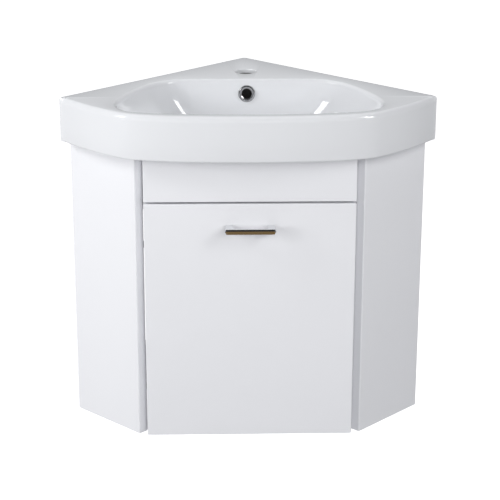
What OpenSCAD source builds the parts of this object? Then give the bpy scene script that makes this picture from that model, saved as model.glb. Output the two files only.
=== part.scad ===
// Corner vanity unit: a five-sided washbasin on a wall-hung cabinet with one side-hinged door.
// Frame: X right, Y back towards the room corner, Z up, millimetres. The origin is the room
// corner, where the two wall edges of the basin meet, at the height of the cabinet's underside.
// The two walls run from it at 45 degrees, to the left front and to the right front.
// Skill feature: the concealed hinges. A single-pin cup hinge on a 45 degree end panel, whose
// curved arm reaches round the door's back corner without touching it through the whole swing.

/* [View] */
// which sub-part to draw, or all of them

/* [Basin] */
// length of each wall edge of the basin
basin_leg = 421; // [415:1:430]
// height of the basin's apron
apron_h = 70.5; // [66:0.5:76]
// thickness of the sealing bead between the cabinet and the basin
seal_t = 1; // [0.5:0.1:2]
// radius of the rounded front top edge
front_round = 10; // [6:0.5:12]
// radius of the top edge along the walls
wall_round = 2; // [1:0.5:4]
// radius of the roll from the deck into the bowl
bowl_roll = 7; // [4:0.5:10]
// depth of the bowl at the waste hole
bowl_depth = 116; // [108:1:124]
// width of the rim in front of the bowl
rim_w = 26; // [24:0.5:32]
// thickness of the deck over the hollows
deck_wall = 14; // [10:1:18]
// thickness of the apron along each wall
apron_wall = 14; // [10:1:18]
// tap hole radius
tap_r = 17.5; // [15:0.5:19]
// distance of the tap hole from the room corner
tap_y = 115.5; // [100:0.5:130]
// waste hole radius
waste_r = 22.5; // [20:0.5:24]
// depth of the overflow's middle below the deck
overflow_down = 23.5; // [20:0.5:30]
// overflow hole radius
overflow_r = 11; // [9:0.5:12]
// wall bolt hole radius
wall_bolt_r = 7; // [5:0.5:8]
// distance of the wall bolt holes from the room corner
wall_bolt_d = 318; // [290:1:340]
// depth of the wall bolt holes below the deck
wall_bolt_down = 41.5; // [36:0.5:46]

/* [Cabinet] */
// board thickness
board = 18; // [15:1:19]
// how far the basin's wall edges reach past the cabinet
cab_inset = 17; // [10:1:22]
// length of each end panel, square to its wall
end_len = 150; // [140:1:160]
// cabinet height
cab_h = 470; // [465:0.5:480]
// height of the upper wall rails
upper_rail_h = 90; // [70:1:110]
// height of the lower wall rails
lower_rail_h = 60; // [40:1:80]
// side of the corner post
post_side = 30; // [25:1:35]
// hanging hole radius
hang_r = 4; // [3:0.5:5]

/* [Door] */
// height of the false front above the door
strip_h = 73.2; // [68:0.2:80]
// gap between the door and the false front
door_gap = 3.2; // [2:0.2:4]
// gap between the door's edge and the end panel's corner, seen from the front
side_gap = 0.88; // [0.8:0.02:2]
// how far the door's face stands ahead of the end panels' outer front corners
door_ahead = 6.26; // [5:0.02:8]
// stand-off of the closed door from the front rail and the bottom panel
door_stand = 3.8; // [3:0.1:5]
// largest opening angle
door_open = 95; // [85:1:95]

/* [Handle] */
// handle length
handle_len = 80; // [76:1:96]
// handle height
handle_h = 8; // [7:0.5:10]
// how far the handle stands off the door
handle_out = 25.5; // [22:0.5:30]
// width of each handle foot
handle_foot = 13; // [10:0.5:16]
// depth of the grip bar
handle_bar = 5.5; // [4:0.5:8]
// depth of the handle's middle below the door's top edge
handle_down = 38; // [30:0.5:60]
// distance between the handle's screws
handle_pitch = 64; // [60:4:64]

/* [Hinges] */
// distance of each hinge's middle from the door's lower or upper edge
hinge_end = 75; // [60:1:90]
// cup radius
cup_r = 17.5; // [17:0.5:17.5]
// distance of the cup's rim from the door's edge
cup_edge = 3; // [3:0.5:5]
// pin distance from the door's edge
pin_edge = 7.5; // [7:0.1:8]
// pin distance from the door's back face
pin_in = 8.6; // [8:0.1:9]
// pin radius
pin_r = 1.5; // [1.3:0.1:1.7]
// thickness of the hinge arm
arm_t = 2.6; // [2:0.1:3]
// width of the hinge arm
arm_w = 10; // [8:0.5:10]

/* [Hidden] */
$fn = 48;
ceramic = [0.93, 0.94, 0.95];
white = [0.92, 0.92, 0.93];
steel = [0.72, 0.73, 0.75];
chrome = [0.80, 0.81, 0.83];
r2 = sqrt(2);
e = 0.01;
skin = 0.05;                                 // clearance round every screw, dowel and pin
// heights
skirt_bottom = cab_h + seal_t;               // underside of the basin's apron
basin_top = skirt_bottom + apron_h;          // the deck
wall_bolt_z = basin_top - wall_bolt_down;
false_z = cab_h - strip_h;                   // underside of the false front
door_h = false_z - door_gap;
handle_z = door_h - handle_down;
hinge_z = [hinge_end, door_h - hinge_end];
// plan of the cabinet, as distances from the room corner along a wall and out from it
cab_leg = basin_leg - cab_inset;             // an end panel's outer face
end_in = cab_leg - board;                    // an end panel's inner face
in_x = (end_in - end_len) / r2;              // its inner front corner, in plan
in_y = (end_in + end_len) / r2;
door_w = 2 * (in_x - side_gap);
door_x = -door_w / 2;                        // door's hinge edge
door_t = board;
door_front = (cab_leg + end_len) / r2 + door_ahead;
door_back = door_front - door_t;             // door's back face, as a distance in front
rest_front = door_back - door_stand;         // front of what the door closes against
// hinge pin, in plan
pin_x = door_x + pin_edge;
pin_y = -(door_back + pin_in);
pin_sweep = sqrt(pin_edge * pin_edge + pin_in * pin_in);
arm_in = pin_sweep + 1;                      // the arm passes outside the door's swept corner
arm_mid = arm_in + arm_t / 2;
arm_from = -3;                               // spoke direction
arm_to = 98;                                 // where the arm leaves its curve
// the same pin in the left wall's frame: along the wall, and out from it
pin_d = -(pin_x + pin_y) / r2;
pin_o = (pin_x - pin_y) / r2;
arm_d = pin_d + arm_mid * cos(arm_to - 225);
arm_o = pin_o + arm_mid * sin(arm_to - 225);
arm_tail = 62;                               // arm length behind its curve
plate_top = end_in - arm_d - arm_t / 2;      // height of the plate's block
plate_base = 2;
plate_mid = 37;                              // plate's screws behind the panel's front end
plate_pitch = 32;
plate_w = 18;
plate_screw_r = 2.5;
plate_screw_l = 13;
block_back = 26;                             // plate's block behind and ahead of its screws
block_ahead = 20;
adjust_ahead = 12;                           // adjusting screw ahead of the plate's screws
adjust_r = 2.35;
arm_screw_r = 2;
arm_screw_back = 14;                         // arm's screw behind the plate's screws
cup_x = door_x + cup_edge + cup_r;
cup_depth = 12.4;
cup_wall = 1;
cup_floor = 0.8;
flange_t = 1.2;
flange_r = 18.5;
ear_h = 60;
ear_w = 17;
ear_x = cup_x + 5.5;
cup_screw_dz = 24;
cup_screw_r = 1.75;
cup_screw_l = 12;
cup_head_r = 3.6;
cup_head_h = 1.6;
bumper_r = 4;
bumper_peg_r = 1.5;
bumper_peg_l = 3.9;
front_screw_end = 26;                        // outer screws from the false front's ends
front_screw_mid = 60;                        // inner screws from the middle
front_screw_x = [door_x + front_screw_end, -front_screw_mid, front_screw_mid,
                 -door_x - front_screw_end];
front_screw_z = false_z + 20;
front_screw_r = 2;
front_screw_l = 28;
front_rail_low = door_h - 14;                // the door closes against its lower 14 mm
front_rail_top = cab_h - 34;
bracket = 36;
bracket_t = 2;
bracket_w = 20;
bracket_z = cab_h - 14;
bracket_hole = 9;                            // bracket's holes from its ends
bracket_screw_r = 1.75;
bracket_screw_l = 13;
dowel_r = 4;
dowel_l = 30;
dowel_in = 20;                               // how much of a dowel lies outside the end panel
front_dowel_r = 3;
front_dowel_l = 18;
front_dowel_in = 8;
// out from the wall, where its half in the rail crosses the rail's middle plane
front_dowel_o = r2 * (rest_front - board / 2) - end_in + front_dowel_in / 2;
cam_r = 7.5;
cam_depth = 12.5;
cam_back = 34;                               // cam's middle from the end panel
cam_bolt_r = 3;
cam_bolt_in = 10;                            // the bolt's thread in the end panel
bottom_dowel_o = [30, 112];                  // bottom panel's dowels, out from the wall
bottom_cam_o = 72;                           // and its cam between them
rail_dowel_z = [cab_h - upper_rail_h + 13, cab_h - 33];
rail_cam_z = cab_h - 55;
lower_dowel_z = board + lower_rail_h / 2;
rail_screw_near = 110;                       // from the corner, and from the end panel
rail_screw_far = 86;
rail_screw_d = [rail_screw_near, end_in - rail_screw_far];
rail_screw_r = 2.1;
rail_screw_l = 41.5;
pan_r = 4;                                   // head of the larger pan screws
pan_h = 2.2;
hang_near = 90;                              // hanging holes, in the same way
hang_far = 61;
hang_d = [hang_near, end_in - hang_far];
hang_z = cab_h - 44;
panel_round = 2;                             // rounding of the end panels' front edges
post_lip = 0.3;
bumper_z = [board / 2, door_h - 7];
bumper_x = door_w / 2 - 18;
seal_w = 8;

// ---- plan outlines of the basin, each a right half from the back to the front ----
// points of a cubic curve, without its first end
function curve(p, n) = [for (k = [1 : n]) let (t = k / n, u = 1 - t)
    u * u * u * p[0] + 3 * u * u * t * p[1] + 3 * u * t * t * p[2] + t * t * t * p[3]];
function flip(l) = [for (k = [len(l) - 1 : -1 : 0]) [-l[k][0], l[k][1]]];
// both halves of an outline, from its ends on the middle line
function whole(back, half) = let (n = len(half) - 1, side = [for (k = [0 : n - 1]) half[k]])
    concat([[0, back]], side, [[0, half[n][1]]], flip(side));
tip = basin_leg / r2;                        // the basin's side tips, from the middle
bulge = 140.8;                               // how far the apron stands in front of the tips
front_y = tip + bulge;
grow = tip / 297.7;                          // widths below are for a tip at 297.7
function ahead(x, share) = [x * grow, -tip - bulge * share];
outer_wall = [for (k = [1 : 13]) [tip * k / 13, -tip * k / 13]];
outer_corner = [[tip + 1.6, -tip - 2.2], [tip + 0.6, -tip - 6.5]];
shoulder = ahead(199, 0.786);                // where the side turns into the front
outer_side = curve([outer_corner[1], ahead(289.5, 0.098), ahead(256.4, 0.477), shoulder], 11);
outer_front = curve([shoulder, ahead(172, 0.931), ahead(80, 1), ahead(0, 1)], 9);
outer = whole(0, concat(outer_wall, outer_corner, outer_side, outer_front));
bowl_back = 177 * grow;                      // the bowl's straight back edge
bowl_len = front_y - rim_w - bowl_back;
// a point of the bowl's plan: its distance from the middle, and in front of the back edge for
// a bowl 235.5 long
function bowl_at(p) = [p[0] * grow, -bowl_back - p[1] * bowl_len / 235.5];
bowl = whole(-bowl_back, [for (p = concat([[49, 0], [97, 0]],
    curve([[97, 0], [107, 0], [129, 0], [155, 29]], 6),
    curve([[155, 29], [165, 40], [210, 122], [206.5, 168.5]], 8),
    curve([[206.5, 168.5], [204.5, 192], [193.5, 213], [165.5, 221]], 8),
    curve([[165.5, 221], [127.5, 231.5], [56, 235.5], [0, 235.5]], 7))) bowl_at(p)]);
mid = bowl_at([0, 113]);                     // centre of the rings in plan
// section of the bowl from its floor up: share of the bowl's outline, backward shift and
// share of the bowl's depth
bowl_section = [[0.36, 15, 0.94], [0.46, 15, 0.888], [0.56, 15, 0.815], [0.655, 15, 0.724],
    [0.735, 14, 0.625], [0.805, 11, 0.522], [0.865, 8, 0.418], [0.915, 5, 0.315],
    [0.955, 2.5, 0.211], [0.985, 0.5, 0.116]];
under_out = [13, 13, 13, 12];                // wall's thickness outwards and downwards under
under_down = [10.5, 8.5, 6, 2.5];            // the first four of these
// share and shift of the bowl's wall at any depth
function wall_share(d) = lookup(d / bowl_depth, [for (p = bowl_section) [p[2], p[0]]]);
function wall_shift(d) = lookup(d / bowl_depth, [for (p = bowl_section) [p[2], p[1]]]);
waste_back = 15;                             // waste hole behind the rings' centre
waste_y = -mid[1] - waste_back;
waste_z = basin_top - bowl_depth;            // the bowl's floor at the waste hole
boss_l = 37.5;                               // length of the waste boss below that floor
boss_z = waste_z - boss_l;
boss_r = 34;
// the bowl's back wall at the overflow
overflow_z = basin_top - overflow_down;
overflow_y = -mid[1] - wall_shift(overflow_down)
    - (-mid[1] - bowl_back) * wall_share(overflow_down);
overflow_tilt = 8.4;                         // slope of the wall there
ring_seat = 0.2;                             // the overflow ring's stand-off from the wall
tap_lip = 1.5;                               // bevel round the tap hole
// hollows beside and behind the bowl, open below
hollow_top = basin_top - deck_wall;
apron_in = apron_wall * r2;
function inside_apron(x) = [x * grow, -abs(x) * grow - apron_in];
rear_hollow = concat([for (x = [-10, 10, 143]) inside_apron(x)],
    [bowl_at([120, -12]), bowl_at([-120, -12]), inside_apron(-143)]);
side_hollow = concat([inside_apron(172), inside_apron(262)],
    [for (p = [[222, 144], [217, 123], [208, 95], [192, 63], [181, 43], [172, 26]]) bowl_at(p)]);

function cross2(a, b) = a[0] * b[1] - a[1] * b[0];
// distance from mid to an outline in direction d
function reach(poly, d) = max([for (k = [0 : len(poly) - 1])
    let (p = poly[k] - mid, q = poly[(k + 1) % len(poly)] - mid, s = q - p, den = cross2(d, s))
    if (abs(den) > 1e-9) let (t = cross2(p, s) / den, u = cross2(p, d) / den)
    if (t > 0 && u >= -1e-6 && u <= 1 + 1e-6) t]);
dirs = [for (k = [0 : len(outer) - 1]) let (p = outer[len(outer) - 1 - k] - mid) p / norm(p)];
out_r = [for (k = [0 : len(outer) - 1]) norm(outer[len(outer) - 1 - k] - mid)];
bowl_r = [for (d = dirs) reach(bowl, d)];
// how far an outline point is from the wall lines, 0 on a wall and 1 from 9 mm on
off_wall = [for (k = [0 : len(dirs) - 1]) let (p = mid + dirs[k] * out_r[k])
    max(0, min(1, (-p[1] - abs(p[0])) / r2 / 9))];
n_ring = len(dirs);

// rings of the basin's skin: each gives a radius, a backward shift and a height
function ring_bowl(s, add, back, z) =
    [for (k = [0 : n_ring - 1]) [mid[0] + dirs[k][0] * (s * bowl_r[k] + add),
                                 mid[1] + back + dirs[k][1] * (s * bowl_r[k] + add), z]];
function ring_round(r, back, z) =
    [for (d = dirs) [mid[0] + d[0] * r, mid[1] + back + d[1] * r, z]];
function ring_outer(t, low) =
    [for (k = [0 : n_ring - 1]) let (r = wall_round + (front_round - wall_round) * off_wall[k],
         q = out_r[k] - r * (1 - cos(t)))
     [mid[0] + dirs[k][0] * q, mid[1] + dirs[k][1] * q, low < 0 ? basin_top - r * (1 - sin(t)) : low]];
rings = concat(
    [ring_round(19, waste_back, boss_z)],
    [for (p = [[19, 0], [26, 0.6], [31, 2.6]]) ring_round(p[0], waste_back, waste_z + p[1])],
    [for (p = bowl_section) ring_bowl(p[0], 0, p[1], basin_top - bowl_depth * p[2])],
    [ring_bowl(1, 0, 0, basin_top - bowl_roll)],
    [for (t = [30, 60, 90]) ring_bowl(1, bowl_roll * (1 - cos(t)), 0,
                                      basin_top - bowl_roll * (1 - sin(t)))],
    [for (t = [90, 60, 30, 0]) ring_outer(t, -1)],
    [ring_outer(0, skirt_bottom + 2.5), ring_outer(33, skirt_bottom)],
    [ring_bowl(wall_share(apron_h), 11, wall_shift(apron_h), skirt_bottom)],
    [for (k = [3 : -1 : 0]) ring_bowl(bowl_section[k][0], under_out[k], bowl_section[k][1],
                                      basin_top - bowl_depth * bowl_section[k][2] - under_down[k])],
    [ring_round(boss_r + 6, waste_back, waste_z - 8.5), ring_round(boss_r, waste_back, waste_z - 11.5)],
    [ring_round(boss_r, waste_back, boss_z + 2), ring_round(boss_r - 2, waste_back, boss_z)]);

// a closed skin through rings of equal length, the last joined to the first
module ring_skin(rs) {
    n = len(rs[0]);
    m = len(rs);
    polyhedron(points = [for (r = rs) for (p = r) p],
        faces = [for (j = [0 : m - 1]) for (k = [0 : n - 1])
                 let (a = j * n + k, b = j * n + (k + 1) % n, c = ((j + 1) % m) * n + (k + 1) % n,
                      d = ((j + 1) % m) * n + k)
                 for (f = [[a, b, c], [a, c, d]]) f], convexity = 8);
}

// ---- helpers ----
// left wall frame: X along the wall from the room corner, Y out from the wall
module at_left_wall() { rotate([0, 0, 225]) children(); }
// the same on both walls, the right one mirrored
module at_walls() {
    at_left_wall() children();
    mirror([1, 0, 0]) at_left_wall() children();
}
// a cylinder from a point along +X or +Y of the current frame
module rod_x(x, y, z, r, l) { translate([x, y, z]) rotate([0, 90, 0]) cylinder(h = l, r = r); }
module rod_y(x, y, z, r, l) { translate([x, y, z]) rotate([-90, 0, 0]) cylinder(h = l, r = r); }
// a pan-head screw along +Z: head below z = 0, pointed shank to l, cross slot in the head
module pan_screw(r, l, head_r, head_h) {
    difference() {
        union() {
            translate([0, 0, -head_h]) cylinder(h = head_h, r1 = head_r * 0.8, r2 = head_r);
            translate([0, 0, -e]) cylinder(h = l - r + e, r = r);
            translate([0, 0, l - r]) cylinder(h = r, r1 = r, r2 = 0.4);
        }
        for (a = [0, 90]) rotate([0, 0, a])
            translate([-head_r * 0.55, -0.4, -head_h - e]) cube([head_r * 1.1, 0.8, head_h * 0.6]);
    }
}
module z_to_minus_y() { rotate([90, 0, 0]) children(); }
module z_to_x() { rotate([0, 90, 0]) children(); }

// ---- basin ----
// the overflow's frame: +Z runs back through the bowl's wall, square to it
module at_overflow() {
    translate([0, -overflow_y, overflow_z]) rotate([-90 - overflow_tilt, 0, 0]) children();
}
module basin() {
    color(ceramic) difference() {
        ring_skin(rings);
        // tap hole, with a rounded lip
        translate([0, -tap_y, hollow_top - 1]) cylinder(h = deck_wall + 2, r = tap_r);
        translate([0, -tap_y, basin_top - tap_lip])
            cylinder(h = tap_lip + e, r1 = tap_r, r2 = tap_r + tap_lip);
        // waste hole
        translate([0, -waste_y, boss_z - 1]) cylinder(h = boss_l + 6, r = waste_r);
        // overflow hole through the bowl's back wall into the rear hollow
        at_overflow() translate([0, 0, -8]) cylinder(h = 30, r = overflow_r);
        for (plan = [rear_hollow, side_hollow, flip(side_hollow)])
            translate([0, 0, skirt_bottom - 1]) linear_extrude(hollow_top - skirt_bottom + 1)
                polygon(plan);
        at_walls() rod_y(wall_bolt_d, -e, wall_bolt_z, wall_bolt_r, apron_wall + 2);
    }
}

module overflow_ring() {
    color(chrome) at_overflow() rotate_extrude()
        polygon([[8, -2], [8.6, -2.9], [9.8, -3.5], [11.2, -3.6], [12.5, -3.2], [13.5, -2.3],
                 [14, -1.2], [14, -ring_seat], [overflow_r - skin, -ring_seat],
                 [overflow_r - skin, 9], [9.6, 9], [9.2, 0], [8.3, -0.6], [8, -1.2]]);
}

module seal_strip() {
    in = board / 2 - seal_w / 2;
    color([0.86, 0.87, 0.88]) translate([0, 0, cab_h]) linear_extrude(seal_t) {
        rotate(225) translate([in, in]) square([cab_leg - 2 * in, seal_w]);
        mirror([1, 0]) rotate(225) translate([in, in]) square([cab_leg - 2 * in, seal_w]);
        for (s = [1, -1]) scale([s, 1]) rotate(225)
            translate([cab_leg - in - seal_w, in]) square([seal_w, end_len - 2 * in]);
        translate([door_x + 2, -door_front + in]) square([door_w - 4, seal_w]);
    }
}

// ---- carcass ----
module end_profile() {
    r = panel_round;
    translate([end_in, 0]) {
        square([board, end_len - r]);
        translate([r, end_len - r - e]) square([board - 2 * r, r + e]);
        translate([r, end_len - r]) circle(r);
        translate([board - r, end_len - r]) circle(r);
    }
}
module end_panel() {
    difference() {
        linear_extrude(cab_h) end_profile();
        end_dowels(skin);
        cam_bolts_side(skin);
        bracket_screws_end(skin);
    }
}
// dowels that enter an end panel from its inner face
module end_dowels(c) {
    for (at = concat([for (o = bottom_dowel_o) [o, board / 2]],
                     [for (z = concat(rail_dowel_z, lower_dowel_z)) [board / 2, z]]))
        rod_x(end_in - dowel_in - c, at[0], at[1], dowel_r + c, dowel_l + 2 * c);
    rod_x(end_in - front_dowel_in - c, front_dowel_o, (front_rail_low + front_rail_top) / 2,
          front_dowel_r + c, front_dowel_l + 2 * c);
}
module cam_bolts_side(c) {
    start = cam_back - cam_r + 2;
    for (at = [[bottom_cam_o, board / 2], [board / 2, rail_cam_z]])
        rod_x(end_in - start, at[0], at[1], cam_bolt_r + c, start + cam_bolt_in + c);
}
module cams_side(c, h) {
    translate([end_in - cam_back, bottom_cam_o, board - cam_depth - c])
        cylinder(h = cam_depth + c + h, r = cam_r + c);
    rod_y(end_in - cam_back, board - cam_depth - c, rail_cam_z, cam_r + c, cam_depth + c + h);
}
module left_end_panel() {
    color(white) at_left_wall() difference() { end_panel(); plate_screws_one_frame(skin); }
}
module right_end_panel() { color(white) mirror([1, 0, 0]) at_left_wall() end_panel(); }

module bottom_panel() {
    // where the front edge meets each end panel's inner face
    fx = in_x + in_y - rest_front;
    color(white) difference() {
        linear_extrude(board)
            polygon([[0, 0], [end_in / r2, -end_in / r2], [fx, -rest_front], [-fx, -rest_front],
                     [-end_in / r2, -end_in / r2]]);
        at_walls() { end_dowels(skin); cam_bolts_side(skin); cams_side(skin, 1); }
        at_walls() for (x = rail_screw_d) {
            translate([x, board / 2, -1]) cylinder(h = board + 2, r = rail_screw_r + skin);
            translate([x, board / 2, -1]) cylinder(h = 1 + pan_h + skin, r = pan_r + skin);
        }
        bumper_seats();
    }
}

module upper_rail(start) {
    difference() {
        translate([start, 0, cab_h - upper_rail_h])
            cube([end_in - start, board, upper_rail_h]);
        end_dowels(skin);
        cam_bolts_side(skin);
        cams_side(skin, 1);
        for (x = hang_d) rod_y(x, -1, hang_z, hang_r, board + 2);
        bracket_screws_rail(skin);
    }
}
module lower_rail(start) {
    difference() {
        translate([start, 0, board]) cube([end_in - start, board, lower_rail_h]);
        end_dowels(skin);
        for (x = rail_screw_d)
            translate([x, board / 2, board - 1])
                cylinder(h = pan_h + rail_screw_l - board + 1 + skin, r = rail_screw_r + skin);
    }
}
module left_upper_rail() { color(white) at_left_wall() upper_rail(0); }
module right_upper_rail() { color(white) mirror([1, 0, 0]) at_left_wall() upper_rail(board); }
module left_lower_rail() { color(white) at_left_wall() lower_rail(0); }
module right_lower_rail() { color(white) mirror([1, 0, 0]) at_left_wall() lower_rail(board); }

module corner_post() {
    color([0.80, 0.72, 0.58]) at_left_wall()
        translate([board, board, board]) cube([post_side, post_side, cab_h - board - post_lip]);
}

module front_rail() {
    // where its back meets each end panel's inner face
    bx = in_x + in_y - rest_front + board;
    color(white) difference() {
        union() {
            translate([0, 0, front_rail_low]) linear_extrude(front_rail_top - front_rail_low)
                polygon([[-bx, board - rest_front], [bx, board - rest_front],
                         [bx - board, -rest_front], [board - bx, -rest_front]]);
            translate([-in_x + 4, -door_back, false_z])
                cube([2 * in_x - 8, door_back - rest_front + 1, front_rail_top - false_z]);
        }
        for (x = front_screw_x) rod_y(x, -door_back - 1, front_screw_z, front_screw_r + skin, 30);
        at_walls() end_dowels(skin);
        bumper_seats();
    }
}

module false_front() {
    color(white) difference() {
        translate([door_x, -door_front, false_z]) cube([door_w, board, cab_h - false_z]);
        for (x = front_screw_x)
            rod_y(x, board - rest_front - front_screw_l - skin, front_screw_z,
                  front_screw_r + skin, front_screw_l);
    }
}
module front_screws() {
    color(steel) for (x = front_screw_x) translate([x, board - rest_front, front_screw_z])
        z_to_minus_y() pan_screw(front_screw_r, front_screw_l, pan_r, pan_h);
}

module dowels() { color([0.82, 0.70, 0.50]) at_walls() end_dowels(0); }
module cam_locks() {
    color(steel) at_walls() difference() {
        cams_side(0, 0);
        cam_bolts_side(skin);
        for (a = [0, 90]) {
            translate([end_in - cam_back, bottom_cam_o, board - 1.2]) rotate([0, 0, a])
                translate([-4, -0.7, 0]) cube([8, 1.4, 2]);
            translate([end_in - cam_back, board - 1.2, rail_cam_z]) rotate([0, a, 0])
                translate([-4, 0, -0.7]) cube([8, 2, 1.4]);
        }
    }
}
module cam_bolts() { color(steel) at_walls() cam_bolts_side(0); }

module bracket_screws_rail(c) {
    rod_y(end_in - bracket + bracket_hole, board + bracket_t - bracket_screw_l - c, bracket_z,
          bracket_screw_r + c, bracket_screw_l + c);
}
module bracket_screws_end(c) {
    rod_x(end_in - bracket_t, board + bracket - bracket_hole, bracket_z, bracket_screw_r + c,
          bracket_screw_l + c);
}
module angle_brackets() {
    color(steel) at_walls() difference() {
        union() {
            translate([end_in - bracket, board, bracket_z - bracket_w / 2])
                cube([bracket, bracket_t, bracket_w]);
            translate([end_in - bracket_t, board, bracket_z - bracket_w / 2])
                cube([bracket_t, bracket, bracket_w]);
        }
        rod_y(end_in - bracket + bracket_hole, board - 1, bracket_z, bracket_screw_r + 0.3, 5);
        rod_x(end_in - 4, board + bracket - bracket_hole, bracket_z, bracket_screw_r + 0.3, 5);
    }
}
module bracket_screws() {
    color(steel) at_walls() {
        translate([end_in - bracket + bracket_hole, board + bracket_t, bracket_z])
            z_to_minus_y() pan_screw(bracket_screw_r, bracket_screw_l, 3.4, 2);
        translate([end_in - bracket_t, board + bracket - bracket_hole, bracket_z])
            z_to_x() pan_screw(bracket_screw_r, bracket_screw_l, 3.4, 2);
    }
}
module rail_screws() {
    color(steel) at_walls() for (x = rail_screw_d) translate([x, board / 2, pan_h])
        pan_screw(rail_screw_r, rail_screw_l, pan_r, pan_h);
}

module bumper_seats() {
    for (z = bumper_z) rod_y(bumper_x, -rest_front - 1, z, bumper_peg_r + 0.1, bumper_peg_l + 1.1);
}
module door_bumpers() {
    color([0.75, 0.77, 0.80]) for (z = bumper_z) {
        rod_y(bumper_x, -door_back + 0.3, z, bumper_r, door_back - rest_front - 0.3);
        rod_y(bumper_x, -rest_front - e, z, bumper_peg_r, bumper_peg_l);
    }
}

// ---- hinges: fixed half, in the left wall's frame ----
module at_hinges() {
    for (z = hinge_z) translate([0, 0, z]) children();
}
module plate_screws_one_frame(c) {
    at_hinges() for (s = [1, -1])
        rod_x(end_in - 1, end_len - plate_mid, s * plate_pitch / 2,
              plate_screw_r + c, plate_screw_l - plate_base + 1 + c);
}
module hinge_plates() {
    color(steel) at_left_wall() at_hinges() difference() {
        union() {
            translate([end_in - plate_base, end_len - plate_mid - plate_w / 2, -plate_pitch / 2 - 8])
                cube([plate_base, plate_w, plate_pitch + 16]);
            translate([end_in - plate_top, end_len - plate_mid - block_back, -arm_w / 2])
                cube([plate_top, block_back + block_ahead, arm_w]);
        }
        for (s = [1, -1]) rod_x(end_in - 4, end_len - plate_mid, s * plate_pitch / 2,
                                plate_screw_r + 0.3, 5);
        rod_x(end_in - plate_top - 1, end_len - plate_mid - arm_screw_back, 0, arm_screw_r + skin, 6);
    }
}
module plate_screws() {
    color(steel) at_left_wall() at_hinges() for (s = [1, -1])
        translate([end_in - plate_base, end_len - plate_mid, s * plate_pitch / 2])
        z_to_x() pan_screw(plate_screw_r, plate_screw_l, 4.2, 2);
}
module arm_profile() {
    n = 18;
    step = (arm_to - arm_from) / n;
    function arc(r, ks) = [for (k = ks) let (a = arm_from + k * step - 225) r * [cos(a), sin(a)]];
    translate([pin_d, pin_o]) {
        circle(2.5);
        polygon(concat(arc(arm_in + arm_t, [0 : n]), arc(arm_in, [n : -1 : 0])));
        rotate(arm_from - 225) translate([0, -1.3]) square([arm_in + arm_t, 2.6]);
    }
    translate([arm_d, arm_o]) circle(arm_t / 2);
    translate([arm_d - arm_t / 2, arm_o - arm_tail]) square([arm_t, arm_tail]);
}
module hinge_arms() {
    color(steel) at_left_wall() at_hinges() difference() {
        translate([0, 0, -arm_w / 2]) linear_extrude(arm_w) arm_profile();
        translate([pin_d, pin_o, -arm_w]) cylinder(h = 2 * arm_w, r = pin_r + skin);
        rod_x(arm_d - arm_t, end_len - plate_mid - arm_screw_back, 0, arm_screw_r + 0.3, 2 * arm_t);
        rod_x(arm_d - arm_t, end_len - plate_mid + adjust_ahead, 0, adjust_r + skin, 2 * arm_t);
    }
}
module arm_screws() {
    color(steel) at_left_wall() at_hinges() {
        translate([arm_d - arm_t / 2, end_len - plate_mid - arm_screw_back, 0])
            z_to_x() pan_screw(arm_screw_r, 7, 4, 2);
        // side adjusting screw, bearing on the plate's block
        difference() {
            rod_x(arm_d - arm_t / 2 - 1, end_len - plate_mid + adjust_ahead, 0, adjust_r, arm_t + 1);
            translate([arm_d - arm_t / 2 - 2, end_len - plate_mid + adjust_ahead - 0.4, -1.8])
                cube([1.6, 0.8, 3.6]);
        }
    }
}

// ---- door and what rides on it ----
module cup_blank(r, d) { rod_y(cup_x, -door_back - d, 0, r, d); }
module hinge_cups() {
    color(steel) at_hinges() difference() {
        union() {
            cup_blank(cup_r - skin, cup_depth);
            rod_y(cup_x, -door_back, 0, flange_r, flange_t);
            translate([ear_x - ear_w / 2, -door_back, -ear_h / 2]) cube([ear_w, flange_t, ear_h]);
        }
        // the cup's hollow, leaving two cheeks for the pin
        difference() {
            rod_y(cup_x, -door_back - cup_depth + cup_floor, 0, cup_r - cup_wall - skin, 30);
            for (s = [1, -1])
                translate([pin_x - 3.6, -door_back - cup_depth, s * (arm_w / 2 + 0.3 + 6) - 6])
                    cube([7.2, cup_depth - 1, 12]);
        }
        translate([pin_x, pin_y, -8.5]) cylinder(h = 17, r = pin_r);
        for (s = [1, -1]) rod_y(ear_x, -door_back - 1, s * cup_screw_dz, cup_screw_r + 0.3, 4);
    }
}
module cup_screws() {
    color(steel) at_hinges() for (s = [1, -1])
        translate([ear_x, -door_back + flange_t, s * cup_screw_dz])
        z_to_minus_y() pan_screw(cup_screw_r, cup_screw_l, cup_head_r, cup_head_h);
}
module hinge_pins() {
    color(chrome) at_hinges() translate([pin_x, pin_y, -8.4]) cylinder(h = 16.8, r = pin_r);
}
module door_panel() {
    color(white) difference() {
        translate([door_x, -door_front, 0]) cube([door_w, door_t, door_h]);
        at_hinges() {
            rod_y(cup_x, -door_back - cup_depth - 0.1, 0, cup_r, cup_depth + 1);
            for (s = [1, -1]) rod_y(ear_x, -door_back - cup_screw_l, s * cup_screw_dz,
                                    cup_screw_r + skin, cup_screw_l + 1);
        }
        for (s = [1, -1]) rod_y(s * handle_pitch / 2, -door_front - 1, handle_z, 2.25, door_t + 2);
    }
}
module handle() {
    hl = handle_len / 2;
    hh = handle_h / 2;
    cut = 2;
    color(chrome) difference() {
        translate([0, -door_front - handle_out, handle_z]) rotate([-90, 0, 0])
            linear_extrude(handle_out)
            polygon([[-hl, 0], [cut - hl, hh], [hl - cut, hh], [hl, 0], [hl - cut, -hh],
                     [cut - hl, -hh]]);
        translate([handle_foot - hl, -door_front - handle_out + handle_bar, handle_z - hh - 1])
            cube([handle_len - 2 * handle_foot, handle_out, handle_h + 2]);
        for (s = [1, -1]) rod_y(s * handle_pitch / 2, -door_front - 10.5, handle_z, 2 + skin, 12);
    }
}
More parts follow.
